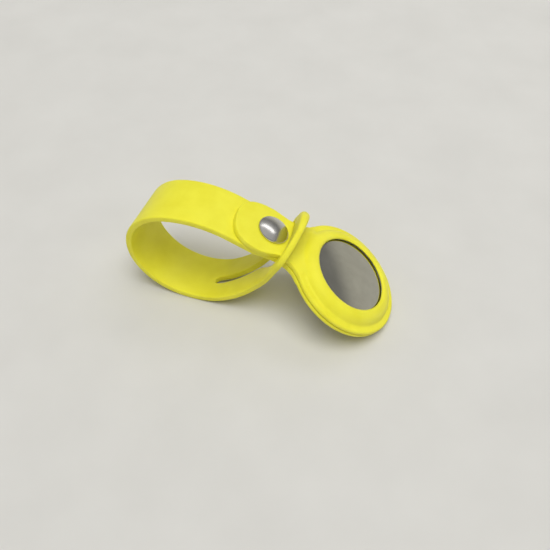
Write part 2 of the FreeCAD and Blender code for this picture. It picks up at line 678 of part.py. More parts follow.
# Coin cell and its contacts
cap_top = "cell_high - cell_can_gauge - cell_gap"
can_bore = "cell_radius - cell_can_gauge"
turned("cell_can", ring_place,
       [("0", "cell_high - cell_can_gauge"), ("0", "cell_high"), ("cell_radius", "cell_high"),
        ("cell_radius", "0 - cell_low + cell_gap"), (can_bore, "0 - cell_low + cell_gap"),
        (can_bore, "cell_high - cell_can_gauge")])
can_foot = "0 - cell_low + cell_gap"
ring_block("cell_gasket", "cell_cap_radius + cell_gap", can_bore + " - cell_gap", can_foot, cap_top)
ring_block("cell_cap", "0", "cell_cap_radius", "0 - cell_low", cap_top)
floor_top = tray_top + " + contact_gap"
ring_block("contact_negative", "0", "contact_radius", floor_top, floor_top + " + contact_gauge")
for side, angle in (("left", CONTACT_ANGLE_DEG), ("right", -CONTACT_ANGLE_DEG)):
    turn = FreeCAD.Placement(V(0, 0, 0), FreeCAD.Rotation(V(0, 0, 1), angle))
    contact = new_body("contact_positive_" + side, ring_place.multiply(turn))
    leaf = "contact_inner_radius + contact_gauge"
    pad(contact, "XZ_Plane",
        [("contact_inner_radius", floor_top), ("contact_outer_radius", floor_top),
         ("contact_outer_radius", floor_top + " + contact_gauge"), (leaf, floor_top + " + contact_gauge"),
         (leaf, "tray_seat"), ("contact_inner_radius", "tray_seat")],
        "contact_width", midplane=True)

# Twist-off battery cover: polished disc on a lugged ring
turned("cover_disc", ring_place,
       [("0", "disc_crown - disc_gauge", DOME),
        ("disc_under_bow_radius", "disc_bow_level - disc_gauge", -44),
        ("disc_under_radius", "disc_edge_level"), ("disc_radius", "disc_edge_level", 66),
        ("disc_bow_radius", "disc_bow_level", DOME), ("0", "disc_crown")])
bayonet = turned("bayonet_ring", ring_place,
                 [("bayonet_inner_radius", "bayonet_low"), ("bayonet_outer_radius", "bayonet_low"),
                  ("bayonet_outer_radius", "bayonet_high"), ("bayonet_inner_radius", "bayonet_high")])
lug_foot = "bayonet_outer_radius - cell_gasket"
lug_top = "bayonet_low + lug_height"
lug = pad(bayonet, "XZ_Plane",
          [(lug_foot, "bayonet_low"), ("lug_radius", "bayonet_low"), ("lug_radius", lug_top),
           (lug_foot, lug_top)],
          "lug_width", midplane=True)
lugs = bayonet.newObject("PartDesign::PolarPattern", "bayonet_ring_lugs")
lugs.Originals = [lug]
lugs.Axis = (own_plane(bayonet, "Z_Axis"), [""])
lugs.Angle = 360.0
lugs.Occurrences = LUG_COUNT
bayonet.Tip = lugs
doc.recompute()

# Every object is checked, then each piece is written to its own file
for item in doc.Objects:
    if "Invalid" in item.State or "Error" in item.State:
        raise RuntimeError("not built: " + item.Label)
os.makedirs("parts", exist_ok=True)
for item in doc.Objects:
    if item.TypeId in ("PartDesign::Body", "Part::Feature", "Part::Torus"):
        if item.Shape.isNull() or not item.Shape.isValid() or len(item.Shape.Solids) != 1:
            raise RuntimeError("not one valid solid: " + item.Label)
        item.Shape.exportStep("parts/" + item.Label + ".step")
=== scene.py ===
import json
import math

import bpy
from mathutils import Matrix, Vector


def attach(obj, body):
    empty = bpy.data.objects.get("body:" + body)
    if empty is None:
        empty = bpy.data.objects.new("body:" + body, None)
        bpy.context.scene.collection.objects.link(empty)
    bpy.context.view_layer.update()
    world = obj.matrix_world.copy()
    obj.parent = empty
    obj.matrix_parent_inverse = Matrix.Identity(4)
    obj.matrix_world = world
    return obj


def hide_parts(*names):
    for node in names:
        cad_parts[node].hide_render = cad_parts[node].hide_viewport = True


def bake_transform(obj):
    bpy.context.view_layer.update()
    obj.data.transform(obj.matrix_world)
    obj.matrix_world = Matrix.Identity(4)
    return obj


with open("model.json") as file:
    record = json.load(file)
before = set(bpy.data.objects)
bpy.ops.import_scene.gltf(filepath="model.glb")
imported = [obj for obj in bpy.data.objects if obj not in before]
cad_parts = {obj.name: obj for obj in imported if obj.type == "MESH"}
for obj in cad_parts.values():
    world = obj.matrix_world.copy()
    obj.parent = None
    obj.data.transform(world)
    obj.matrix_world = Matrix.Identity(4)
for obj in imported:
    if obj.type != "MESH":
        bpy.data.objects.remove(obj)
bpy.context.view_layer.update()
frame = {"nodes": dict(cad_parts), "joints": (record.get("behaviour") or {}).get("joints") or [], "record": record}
scene = bpy.context.scene
scene.view_settings.view_transform = "Standard"

MM = 0.001
PHOTO_PX = 550

# Ring frame: reach toward the flap, near side, front of the ring
spin = next(joint for joint in frame["joints"] if joint["name"] == "tag_spin")
RING = Vector(spin["pos_m"])
FRONT = Vector(spin["axis"]).normalized()
REACH = Vector((-FRONT.z, 0, FRONT.x))
NEAR = Vector((0, -1, 0))
AXES = Matrix((REACH, NEAR, FRONT)).transposed()
TILT = math.atan2(FRONT.x, FRONT.z)


def place(reach, near, front):
    """Point of the row frame from millimetres in the ring frame."""
    return RING + AXES @ Vector((reach, near, front)) * MM


# Camera, fitted to the photograph in the ring frame
CAMERA_AT = (87.0, 149.05, 138.83)
CAMERA_RIGHT = (-0.80217, -0.19999, 0.56260)
CAMERA_UP = (0.50841, -0.72287, 0.46794)
CAMERA_BACK = (0.31310, 0.66140, 0.68155)
FOCAL_PX = 700
SENSOR_MM = 36.0
CLIP_START_M = 0.001

lens = bpy.data.cameras.new("photo_camera")
lens.sensor_width = SENSOR_MM
lens.lens = FOCAL_PX / PHOTO_PX * SENSOR_MM
lens.clip_start = CLIP_START_M
camera = bpy.data.objects.new("photo_camera", lens)
bpy.context.collection.objects.link(camera)
turn = Matrix([AXES @ Vector(row) for row in (CAMERA_RIGHT, CAMERA_UP, CAMERA_BACK)]).transposed()
camera.matrix_world = Matrix.Translation(place(*CAMERA_AT)) @ turn.to_4x4()
scene.camera = camera


# Number helpers
def ease(value, low, high):
    """Smooth step from 0 at low to 1 at high, which may be the smaller of the two."""
    share = min(1.0, max(0.0, (value - low) / (high - low)))
    return share * share * (3 - 2 * share)


def mix(a, b, share):
    return a + (b - a) * share


def smooth_max(a, b, width):
    """Larger of two levels, rounded where they lie closer than the width."""
    share = max(0.0, width - abs(a - b)) / width
    return max(a, b) + share * share * width / 4


# Mesh helpers
SHARP_ANGLE = math.radians(60)
SMOOTH_FACTOR = 0.5
ARC_COUNT = 9


def mesh_object(name, points, faces):
    mesh = bpy.data.meshes.new(name)
    mesh.from_pydata([tuple(point) for point in points], [], faces)
    mesh.update()
    obj = bpy.data.objects.new(name, mesh)
    bpy.context.collection.objects.link(obj)
    return obj


def settle(obj):
    """Applies the modifiers of a piece to its mesh and shades it smooth."""
    graph = bpy.context.evaluated_depsgraph_get()
    mesh = bpy.data.meshes.new_from_object(obj.evaluated_get(graph))
    obj.modifiers.clear()
    obj.data = mesh
    for face in mesh.polygons:
        face.use_smooth = True
    mesh.set_sharp_from_angle(angle=SHARP_ANGLE)


def merged(name, parts, voxel, passes, keep):
    """One moulded skin from closed shells that run into each other."""
    points = []
    faces = []
    for part_points, part_faces in parts:
        base = len(points)
        points += part_points
        faces += [[base + i for i in face] for face in part_faces]
    obj = mesh_object(name, points, faces)
    remesh = obj.modifiers.new("union", "REMESH")
    remesh.mode = "VOXEL"
    remesh.voxel_size = voxel
    soft = obj.modifiers.new("soften", "SMOOTH")
    soft.factor = SMOOTH_FACTOR
    soft.iterations = passes
    thin = obj.modifiers.new("thin", "DECIMATE")
    thin.ratio = keep
    settle(obj)
    return obj


def arc_points(start, stop, degrees, count):
    """Points from start up to stop on an arc that turns left by so many degrees."""
    a = Vector(start)
    b = Vector(stop)
    run = b - a
    centre = (a + b) / 2 + Vector((-run.y, run.x)) * (0.5 / math.tan(math.radians(degrees) / 2))
    arm = a - centre
    return [centre + Matrix.Rotation(math.radians(degrees) * i / count, 2) @ arm for i in range(count)]


def profile(corners):
    """Closed section from corners of radius, level and the turn of the arc that follows."""
    found = []
    for i, corner in enumerate(corners):
        after = corners[(i + 1) % len(corners)]
        if len(corner) > 2:
            found += arc_points(corner[:2], after[:2], corner[2], ARC_COUNT)
        else:
            found.append(Vector(corner))
    return found


def turned_points(section, steps):
    """Points of a section turned about the ring's axis."""
    points = []
    for i in range(steps):
        angle = 2 * math.pi * i / steps
        points += [place(spot.x * math.cos(angle), spot.x * math.sin(angle), spot.y) for spot in section]
    return points


def revolved(section, steps):
    """Closed shell of a closed section that stays clear of the ring's axis."""
    faces = []
    rows = len(section)
    for i in range(steps):
        here = i * rows
        there = ((i + 1) % steps) * rows
        for j in range(rows):
            after = (j + 1) % rows
            faces.append([here + j, here + after, there + after, there + j])
    return turned_points(section, steps), faces


def slab(top, bottom):
    """Closed shell between two grids of points."""
    rows = len(top)
    cols = len(top[0])
    base = rows * cols
    faces = []

    def wall(a, b, turned):
        side = [a, b, base + b, base + a]
        faces.append(side[::-1] if turned else side)

    for i in range(rows - 1):
        for j in range(cols - 1):
            a = i * cols + j
            faces.append([a, a + 1, a + cols + 1, a + cols])
            faces.append([base + a, base + a + cols, base + a + cols + 1, base + a + 1])
    for a in range(0, base - cols, cols):
        wall(a, a + cols, True)
        wall(a + cols - 1, a + 2 * cols - 1, False)
    for a in range(cols - 1):
        wall(a, a + 1, True)
        wall(base - cols + a, base - cols + a + 1, False)
    return [spot for row in top + bottom for spot in row], faces


# Ring in millimetres: rim, bead, crease, dome, lip and pocket, with the turns of its arcs in degrees
RING_RADIUS = 19.3
PARTING = 0.11
PARTING_ROUND = 0.35
RIM_LEVEL = 1.6
RIM_ROUND = 0.8
ROUND_TURN = 90
CREASE_RADIUS = 17.5
CREASE_TURN = -68
DOME_RADIUS = 16.8
DOME_LEVEL = 2.08
DOME_TURN = 62
CROWN_RADIUS = 13.6
CROWN_DROP = 0.05
CROWN_TURN = 70
WINDOW_RADIUS = 12.4
LIP_DROP = 0.65
LIP_FOOT_DROP = 0.85
POCKET_TURN = -40
POCKET_RADIUS = 16.15
POCKET_LEVEL = 2.1
FRONT_CROWN = 4.6
REAR_CROWN = 4.95
DOME_COUNT = 24
DOME_LINE = arc_points((DOME_RADIUS, DOME_LEVEL), (CROWN_RADIUS, FRONT_CROWN - CROWN_DROP), DOME_TURN, DOME_COUNT)
DOME_SLOPE = 2.0
RING_STEPS = 200


def cover_ring(crown, side):
    """Ring of a cover, with its front at side 1 and its rear at side -1."""
    corners = [(POCKET_RADIUS, PARTING), (RING_RADIUS - PARTING_ROUND, PARTING, ROUND_TURN),
               (RING_RADIUS, PARTING + PARTING_ROUND), (RING_RADIUS, RIM_LEVEL - RIM_ROUND, ROUND_TURN),
               (RING_RADIUS - RIM_ROUND, RIM_LEVEL), (CREASE_RADIUS, RIM_LEVEL, CREASE_TURN),
               (DOME_RADIUS, DOME_LEVEL, DOME_TURN), (CROWN_RADIUS, crown - CROWN_DROP, CROWN_TURN),
               (WINDOW_RADIUS, crown - LIP_DROP), (WINDOW_RADIUS, crown - LIP_FOOT_DROP, POCKET_TURN),
               (POCKET_RADIUS, POCKET_LEVEL)]
    return revolved([Vector((spot.x, spot.y * side)) for spot in profile(corners)], RING_STEPS)


def dome_level(radius):
    """Level of the front dome at a radius, carried on downward outside its foot."""
    foot = DOME_LINE[0]
    if radius >= foot.x:
        return foot.y - (radius - foot.x) * DOME_SLOPE
    for a, b in zip(DOME_LINE, DOME_LINE[1:]):
        if b.x <= radius:
            return mix(a.y, b.y, (a.x - radius) / max(1e-6, a.x - b.x))
    return DOME_LINE[-1].y


# Neck, which flares into the ring and droops from its root
NECK_HALF = 7.8
NECK_ROOT = 20.0
NECK_TOP = 2.0
DROOP = math.radians(7.0)
DROOP_DEPTH = 1.0
FLARE_RADIUS = 10.0
FLARE_REACH = math.sqrt((RING_RADIUS + FLARE_RADIUS) ** 2 - (NECK_HALF + FLARE_RADIUS) ** 2)
FLARE_ANGLE = math.atan2(NECK_HALF + FLARE_RADIUS, FLARE_REACH)
FLARE_SPLIT = 0.25
PATCH_ROWS = 26
PATCH_COLS = 40


def flare_half(reach):
    gap = max(0.0, FLARE_REACH - reach)
    return NECK_HALF + FLARE_RADIUS - math.sqrt(FLARE_RADIUS ** 2 - min(gap, FLARE_RADIUS) ** 2)


def neck_level(reach):
    return -(reach - NECK_ROOT) * math.tan(DROOP)


def neck_place(along, near, level):
    """Point from millimetres in the frame of the neck."""
    depth = level + DROOP_DEPTH
    reach = NECK_ROOT + along * math.cos(DROOP) + depth * math.sin(DROOP)
    return place(reach, near, depth * math.cos(DROOP) - DROOP_DEPTH - along * math.sin(DROOP))


def patch_spot(across, along, start):
    """Spot between a radius of the ring and the straight neck, flared at both sides."""
    angle = FLARE_ANGLE * across
    foot = Vector((start * math.cos(angle), start * math.sin(angle)))
    end = Vector((FLARE_REACH, NECK_HALF * across))
    inner = foot.lerp(end, along)
    edge_angle = math.copysign(FLARE_ANGLE, across)
    corner = Vector((start * math.cos(edge_angle), start * math.sin(edge_angle)))
    tangent = Vector((RING_RADIUS * math.cos(edge_angle), RING_RADIUS * math.sin(edge_angle)))
    if along < FLARE_SPLIT:
        edge = corner.lerp(tangent, along / FLARE_SPLIT)
    else:
        reach = mix(tangent.x, FLARE_REACH, (along - FLARE_SPLIT) / (1 - FLARE_SPLIT))
        edge = Vector((reach, math.copysign(flare_half(reach), across)))
    straight = corner.lerp(Vector((FLARE_REACH, math.copysign(NECK_HALF, across))), along)
    return inner + (edge - straight) * abs(across) ** 2


def plate_rows(stations, spots_at):
    """Top and bottom rows of a plate, from a function of the row's station and the share across."""
    top = []
    bottom = []
    for station in stations:
        pairs = [spots_at(station, 2 * j / PATCH_COLS - 1) for j in range(PATCH_COLS + 1)]
        top.append([upper for upper, lower in pairs])
        bottom.append([lower for upper, lower in pairs])
    return top, bottom


# Front skin: ring, neck and snap flap in one moulding
ROOT_RADIUS = 14.6
ROOT_FILLET = 2.2
ROOT_SINK = 0.06
ROOT_RIM_LEVEL = 1.56
ROOT_DEPTH = 0.35
ROOT_FLOOR = (16.1, 16.5)
ROOT_SIDES = (0.62, 1.0)
ROOT_FADE = (0.55, 1.0)
FLAP_NEAR = 9.7
FLAP_FAR = 8.7
FLAP_WIDE_AT = 30.0
FLAP_END = 40.2
FLAP_LAST = FLAP_END - 0.02
FLAP_ROWS = 40
FLAP_POWER = 2.6
FLAP_SAG = 0.25
SAG_NEAR = (3.0, 10.0)
SAG_REACH = (26.0, 34.0)
SKIN_VOXEL = 0.22 * MM
SKIN_PASSES = 10
SKIN_KEEP = 0.5


def root_spots(along, across):
    """Neck's root, which rises into the dome in the middle and sinks into the rim at its sides."""
    spot = patch_spot(across, along, ROOT_RADIUS)
    side = ease(abs(across), *ROOT_SIDES) * (1 - ease(along, *ROOT_FADE))
    dome = dome_level(spot.length)
    neck = smooth_max(dome, NECK_TOP + neck_level(spot.x), ROOT_FILLET)
    upper = mix(neck, max(dome - ROOT_SINK, ROOT_RIM_LEVEL), side)
    parting = PARTING + min(0.0, neck_level(spot.x))
    lower = mix(dome - ROOT_DEPTH, parting, ease(spot.length, *ROOT_FLOOR))
    return place(spot.x, spot.y, upper), place(spot.x, spot.y, lower)


def flap_half(reach, side):
    wide = FLAP_NEAR if side > 0 else FLAP_FAR
    if reach < FLAP_WIDE_AT:
        return mix(NECK_HALF, wide, ease(reach, FLARE_REACH, FLAP_WIDE_AT))
    share = (reach - FLAP_WIDE_AT) / (FLAP_END - FLAP_WIDE_AT)
    return wide * max(0.0, 1 - share ** FLAP_POWER) ** (1 / FLAP_POWER)


def flap_spots(reach, across):
    near = across * flap_half(reach, across)
    sag = FLAP_SAG * ease(near, *SAG_NEAR) * ease(reach, *SAG_REACH)
    level = neck_level(reach)
    return place(reach, near, NECK_TOP + level - sag), place(reach, near, PARTING + level)


def front_plate():
    root = plate_rows([i / PATCH_ROWS for i in range(PATCH_ROWS)], root_spots)
    turns = [math.sin(math.pi / 2 * i / FLAP_ROWS) for i in range(FLAP_ROWS + 1)]
    flap = plate_rows([mix(FLARE_REACH, FLAP_LAST, turn) for turn in turns], flap_spots)
    return slab(root[0] + flap[0], root[1] + flap[1])


front_skin = merged("front_skin", [cover_ring(FRONT_CROWN, 1), front_plate()], SKIN_VOXEL, SKIN_PASSES, SKIN_KEEP)

# Recess for the snap socket in the underside of the flap
SNAP_REACH = 7.9
RECESS_RADIUS = 3.33
RECESS_FOOT = -1.0
RECESS_DEPTH = 1.37
RECESS_STEPS = 72


def recess_mesh():
    points = []
    for level in (RECESS_FOOT, RECESS_DEPTH):
        for i in range(RECESS_STEPS):
            angle = 2 * math.pi * i / RECESS_STEPS
            along = SNAP_REACH + RECESS_RADIUS * math.cos(angle)
            points.append(neck_place(along, RECESS_RADIUS * math.sin(angle), level))
    faces = [list(range(RECESS_STEPS - 1, -1, -1)), list(range(RECESS_STEPS, 2 * RECESS_STEPS))]
    for i in range(RECESS_STEPS):
        after = (i + 1) % RECESS_STEPS
        faces.append([i, after, RECESS_STEPS + after, RECESS_STEPS + i])
    return points, faces


cutter = mesh_object("socket_recess", *recess_mesh())
cut = front_skin.modifiers.new("recess", "BOOLEAN")
cut.operation = "DIFFERENCE"
cut.object = cutter
cut.solver = "MANIFOLD"
settle(front_skin)
bpy.data.objects.remove(cutter)
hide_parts("front_cover", "snap_flap")
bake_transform(front_skin)

# Rear skin: ring and the tab that the strap grows from
TAB_START = 16.4
TAB_END = 21.0
TAB_SHARE = (TAB_END - TAB_START) / (FLARE_REACH - TAB_START)
TAB_THICK = 1.98
TAB_FADE = (17.5, 20.5)


def tab_spots(along, across):
    spot = patch_spot(across, along, TAB_START)
    drop = min(0.0, neck_level(spot.x))
    thick = mix(RIM_LEVEL, TAB_THICK, ease(spot.x, *TAB_FADE))
    return place(spot.x, spot.y, drop - PARTING), place(spot.x, spot.y, drop - thick)


tab = slab(*plate_rows([TAB_SHARE * i / PATCH_ROWS for i in range(PATCH_ROWS + 1)], tab_spots))
rear_skin = merged("rear_skin", [cover_ring(REAR_CROWN, -1), tab], SKIN_VOXEL, SKIN_PASSES, SKIN_KEEP)
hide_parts("rear_cover")
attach(rear_skin, "holder")

# Polished battery disc with a rolled edge, finely divided so that its reflection is clean
DISC_RADIUS = 13.2
DISC_EDGE = 2.75
DISC_BOW_RADIUS = 12.3
DISC_BOW_LEVEL = 3.42
DISC_BOW_TURN = 58
DISC_CROWN = 3.72
DISC_RISE = 0.3
UNDER_RADIUS = 12.9
UNDER_BOW_RADIUS = 12.0
UNDER_BOW_LEVEL = 3.12
UNDER_BOW_TURN = 44
UNDER_CROWN = 3.42
DISC_RINGS = 26
DISC_BOW_COUNT = 10
UNDER_RINGS = 8
UNDER_BOW_COUNT = 6
DISC_STEPS = 160


def bowed(radius, crown, count):
    """Section of a shallow bow from the axis out to a radius."""
    radii = [radius * i / count for i in range(count + 1)]
    return [Vector((spot, crown - DISC_RISE * (spot / radius) ** 2)) for spot in radii]


def steel_disc():
    edge = (DISC_RADIUS, DISC_EDGE)
    under = (UNDER_RADIUS, DISC_EDGE)
    section = bowed(DISC_BOW_RADIUS, DISC_CROWN, DISC_RINGS)
    section += arc_points(edge, (DISC_BOW_RADIUS, DISC_BOW_LEVEL), DISC_BOW_TURN, DISC_BOW_COUNT)[:0:-1]
    section += [Vector(edge), Vector(under)]
    section += arc_points(under, (UNDER_BOW_RADIUS, UNDER_BOW_LEVEL), UNDER_BOW_TURN, UNDER_BOW_COUNT)[1:]
    section += bowed(UNDER_BOW_RADIUS, UNDER_CROWN, UNDER_RINGS)[::-1]
    faces = []
    rows = len(section)
    for i in range(DISC_STEPS):
        here = i * rows
        there = ((i + 1) % DISC_STEPS) * rows
        faces.append([0, here + 1, there + 1])
        faces.append([rows - 1, there + rows - 2, here + rows - 2])
        for j in range(1, rows - 2):
            faces.append([here + j, here + j + 1, there + j + 1, there + j])
    return turned_points(section, DISC_STEPS), faces


disc = mesh_object("steel_disc", *steel_disc())
settle(disc)
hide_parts("cover_disc")
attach(disc, "battery_cover")

# Strap: path of a straight run and arcs of radius and turn, then the slotted end
STRAP_HALF = 9.0
STRAP_THICK = 2.0
STRAIGHT_RUN = 19.5
ROOT_OVERLAP = 1.0
RUN_FLARE = 2.25
RUN_TAPER = (4.0, 11.5)
LOOP_ARCS = [(27.6213, 43.0), (17.0, 150.0), (22.9532, 47.0), (43.0, 15.0)]
LOOP_YAW = math.radians(9.5)
LOOP_DRIFT = 4.2
PATH_STEP = 0.9
END_RADIUS = 73.0
END_YAW = math.radians(8.5)
END_STEPS = 64
SLOT_HALF = 1.4
SLOT_FOOT = -32.9
SLOT_FROM_SHARE = 0.6
SLOT_FULL_SHARE = 0.72
FOOT_HALF = 0.5
FOOT_FADE = 4.0

# Rounded edges, and the swell of the slotted end at its tip
LOOP_EDGE = 0.45
END_EDGE = 0.85
END_EDGE_LEVELS = (-12.0, 0.0)
EDGE_LIMIT_SHARE = 0.42
EDGE_TURNS = [math.radians(22.5 * i) for i in range(5)]
BAND_COLS = 2 * len(EDGE_TURNS) + 1
TIP_EDGE = 1.25
TIP_SWELL = 1.0
TIP_LEVELS = (-7.0, 1.5)
TIP_SIDES = (3.0, -6.0)
FULL_THICK = STRAP_THICK + TIP_SWELL

# Outline of the slotted end in shares of the strap width, and its slot round the neck in millimetres
NEAR_EDGE = [(0.5, -0.918), (0.53, -0.72), (0.575, -0.5), (0.62, -0.26), (0.652, -0.04), (0.655, 0.1),
             (0.6, 0.23), (0.48, 0.35), (0.33, 0.45), (0.15, 0.53), (-0.05, 0.56), (-0.25, 0.53),
             (-0.44, 0.43), (-0.57, 0.285)]
FAR_EDGE = [(-0.5, -0.918), (-0.51, -0.75), (-0.54, -0.5), (-0.59, -0.26), (-0.625, -0.04), (-0.63, 0.12),
            (-0.57, 0.285)]
SLOT_NEAR = [(1.4, -16.52), (2.5, -12.5), (6.0, -6.7), (8.4, -2.9), (8.65, 1.15), (7.2, 2.95), (2.9, 3.2),
             (-2.9, 3.2), (-6.6, 2.9)]
SLOT_FAR = [(-1.4, -16.52), (-3.0, -9.0), (-6.4, -5.4), (-8.4, -2.6), (-8.65, 0.9), (-8.0, 2.3), (-6.6, 2.9)]
CURVE_STEPS = 24


class Stop:
    """A place on the strap's middle line: reach, rise and heading."""

    def __init__(self, reach, rise, heading):
        self.reach = reach
        self.rise = rise
        self.heading = heading

    def ahead(self, length):
        return Stop(self.reach + length * math.cos(self.heading), self.rise - length * math.sin(self.heading),
                    self.heading)

    def along(self, radius, angle):
        to = self.heading + angle
        return Stop(self.reach + radius * (math.sin(to) - math.sin(self.heading)),
                    self.rise + radius * (math.cos(to) - math.cos(self.heading)), to)


def strap_stops():
    """Stops along the straight run and the loop with their length from the loop's start, and the loop's length."""
    found = []
    root = Stop(NECK_ROOT, -STRAP_THICK / 2, DROOP)
    count = round((STRAIGHT_RUN + ROOT_OVERLAP) / PATH_STEP)
    for i in range(count):
        run = mix(-ROOT_OVERLAP, STRAIGHT_RUN, i / count)
        found.append((root.ahead(run), run - STRAIGHT_RUN))
    here = root.ahead(STRAIGHT_RUN)
    length = 0.0
    for radius, degrees in LOOP_ARCS:
        angle = math.radians(degrees)
        count = round(radius * angle / PATH_STEP)
        for i in range(count):
            found.append((here.along(radius, angle * i / count), length + radius * angle * i / count))
        length += radius * angle
        here = here.along(radius, angle)
    found.append((here, length))
    return found, length


stops, loop_length = strap_stops()
join = stops[-1][0]


def run_half(run):
    """Half width of the straight run, narrow where the slotted end passes over it."""
    if run < RUN_FLARE:
        return mix(flare_half(NECK_ROOT), NECK_HALF, ease(run, 0.0, RUN_FLARE))
    return mix(NECK_HALF, STRAP_HALF, ease(run, *RUN_TAPER))


def loop_swell(length):
    """Share of the loop's sideways lean, which is full halfway round."""
    return math.sin(math.pi * length / loop_length) ** 2 if length > 0 else 0.0


def loop_point(stop, length, across):
    if length <= 0:
        share = run_half(length + STRAIGHT_RUN) / STRAP_HALF
        return place(stop.reach, across * share, stop.rise)
    swell = loop_swell(length)
    yaw = LOOP_YAW * swell
    reach = stop.reach + across * math.cos(TILT) * math.sin(yaw)
    rise = stop.rise - across * math.sin(TILT) * math.sin(yaw)
    return place(reach, across * math.cos(yaw) - LOOP_DRIFT * swell, rise)


def slot_gap(stop, length):
    """Half width kept for the slot at a stop, and whether the slot is open there."""
    if length <= loop_length * SLOT_FROM_SHARE:
        return SLOT_HALF, False
    past = stop.rise - SLOT_FOOT
    if past < 0:
        return mix(FOOT_HALF, SLOT_HALF, ease(-past, 0.0, FOOT_FADE)), False
    return math.sqrt(max(FOOT_HALF ** 2, SLOT_HALF ** 2 - max(0.0, SLOT_HALF - past) ** 2)), True


def curve(points, after):
    """Smooth line through points at even steps of length; it starts upright and heads for a point after its end."""
    spots = [Vector(point) for point in points] + [Vector(after)]
    start = spots[0]
    spots.insert(0, Vector((start.x, start.y - (spots[1] - start).length)))
    dense = []
    for i in range(1, len(spots) - 2):
        a, b, c, d = spots[i - 1:i + 3]
        for k in range(CURVE_STEPS):
            t = k / CURVE_STEPS
            dense.append(((b * 2) + (c - a) * t + (a * 2 - b * 5 + c * 4 - d) * t * t
                          + (b * 3 - a - c * 3 + d) * t ** 3) / 2)
    dense.append(spots[-2])
    sums = [0.0]
    for a, b in zip(dense, dense[1:]):
        sums.append(sums[-1] + (b - a).length)
    found = []
    k = 0
    for i in range(END_STEPS + 1):
        goal = sums[-1] * i / END_STEPS
        while k < len(sums) - 2 and sums[k + 1] < goal:
            k += 1
        found.append(dense[k].lerp(dense[k + 1], (goal - sums[k]) / max(1e-9, sums[k + 1] - sums[k])))
    return found


def tip_swell(spot):
    """Extra thickness of the slotted end, which is fullest at its far tip."""
    return TIP_SWELL * ease(spot.y, *TIP_LEVELS) * ease(spot.x, *TIP_SIDES)


def end_point(spot):
    """Point of the slotted end from its near and front place; it turns as it comes up to the neck."""
    centre_rise = join.rise - END_RADIUS * math.cos(join.heading)
    centre_reach = join.reach - END_RADIUS * math.sin(join.heading)
    heading = 2 * math.pi - math.acos((spot.y - centre_rise) / END_RADIUS)
    yaw = END_YAW * ease(spot.y, join.rise, 0.0)
    reach = centre_reach + END_RADIUS * math.sin(heading) + spot.x * math.tan(yaw)
    return place(reach + tip_swell(spot) / 2, spot.x, spot.y)


def end_edge(spot):
    """Edge radius of the slotted end: soft on its bands and fullest at its tip."""
    radius = mix(LOOP_EDGE, END_EDGE, ease(spot.y, *END_EDGE_LEVELS))
    return mix(radius, TIP_EDGE, tip_swell(spot) / TIP_SWELL)


def band_columns(width, radius, first=True, last=True):
    """Shares across a band, and the thickness that its rounded first and last edges lose there."""
    radius = min(radius, EDGE_LIMIT_SHARE * width)
    edge = [(radius * (1 - math.cos(turn)) / width, 2 * radius * (1 - math.sin(turn))) for turn in EDGE_TURNS]
    columns = [(share, loss * first) for share, loss in edge] + [(0.5, 0.0)]
    return columns + [(1 - share, loss * last) for share, loss in edge[::-1]]


class Sheet:
    """Middle sheet of the strap, with the thickness at each of its points."""

    def __init__(self):
        self.points = []
        self.full = []
        self.faces = []

    def add(self, point, thickness):
        self.points.append(point)
        self.full.append(thickness)
        return len(self.points) - 1

    def bridge(self, row, after, open_at=None):
        """Faces from one row to the next, left open at one column."""
        for j in range(len(row) - 1):
            if j != open_at:
                self.faces.append([row[j], row[j + 1], after[j + 1], after[j]])

    def loop_row(self, stop, length, gap, opened):
        full_at = ease(length, loop_length * SLOT_FROM_SHARE, loop_length * SLOT_FULL_SHARE)
        middle = LOOP_DRIFT * loop_swell(length) * full_at
        row = []
        for start, end, first, last in ((-STRAP_HALF, middle - gap, True, opened),
                                        (middle + gap, STRAP_HALF, opened, True)):
            for share, loss in band_columns(end - start, LOOP_EDGE, first, last):
                row.append(self.add(loop_point(stop, length, mix(start, end, share)), STRAP_THICK - loss))
        return row

    def end_row(self, first, last):
        row = []
        for share, loss in band_columns((last - first).length, end_edge(first.lerp(last, 0.5))):
            spot = first.lerp(last, share)
            row.append(self.add(end_point(spot), STRAP_THICK + tip_swell(spot) - loss))
        return row

    def lay_loop(self):
        """Rows of the straight run and the loop, of which the last is returned."""
        row = None
        opened = False
        for stop, length in stops:
            gap, opens = slot_gap(stop, length)
            after = self.loop_row(stop, length, gap, opens)
            if row:
                self.bridge(row, after, BAND_COLS - 1 if opened and opens else None)
            row, opened = after, opens
        return row

    def lay_end(self, row):
        """Near and far band of the slotted end, which share their last row at the tip."""
        width = 2 * STRAP_HALF
        near_line = [(a * width, b * width) for a, b in NEAR_EDGE]
        far_line = [(a * width, b * width) for a, b in FAR_EDGE]
        near_band = curve(SLOT_NEAR, SLOT_FAR[-2]), curve(near_line, far_line[-2])
        far_band = curve(far_line, near_line[-2]), curve(SLOT_FAR, SLOT_NEAR[-2])
        near_row, far_row = row[BAND_COLS:], row[:BAND_COLS]
        for i in range(1, END_STEPS + 1):
            near_after = self.end_row(near_band[0][i], near_band[1][i])
            self.bridge(near_row, near_after)
            far_after = near_after[::-1] if i == END_STEPS else self.end_row(far_band[0][i], far_band[1][i])
            self.bridge(far_row, far_after)
            near_row, far_row = near_after, far_after


sheet = Sheet()
sheet.lay_end(sheet.lay_loop())
strap = mesh_object("strap_skin", sheet.points, sheet.faces)
fullness = strap.vertex_groups.new(name="fullness")
for i, thickness in enumerate(sheet.full):
    fullness.add([i], thickness / FULL_THICK, "REPLACE")
thick = strap.modifiers.new("thick", "SOLIDIFY")
thick.thickness = FULL_THICK * MM
thick.offset = 0.0
thick.vertex_group = fullness.name
thick.use_even_offset = True
settle(strap)
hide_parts("strap")
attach(strap, "holder")

# Materials
RAMP_LOW = 0.3
RAMP_HIGH = 0.7
EVEN = (1, 1, 1)


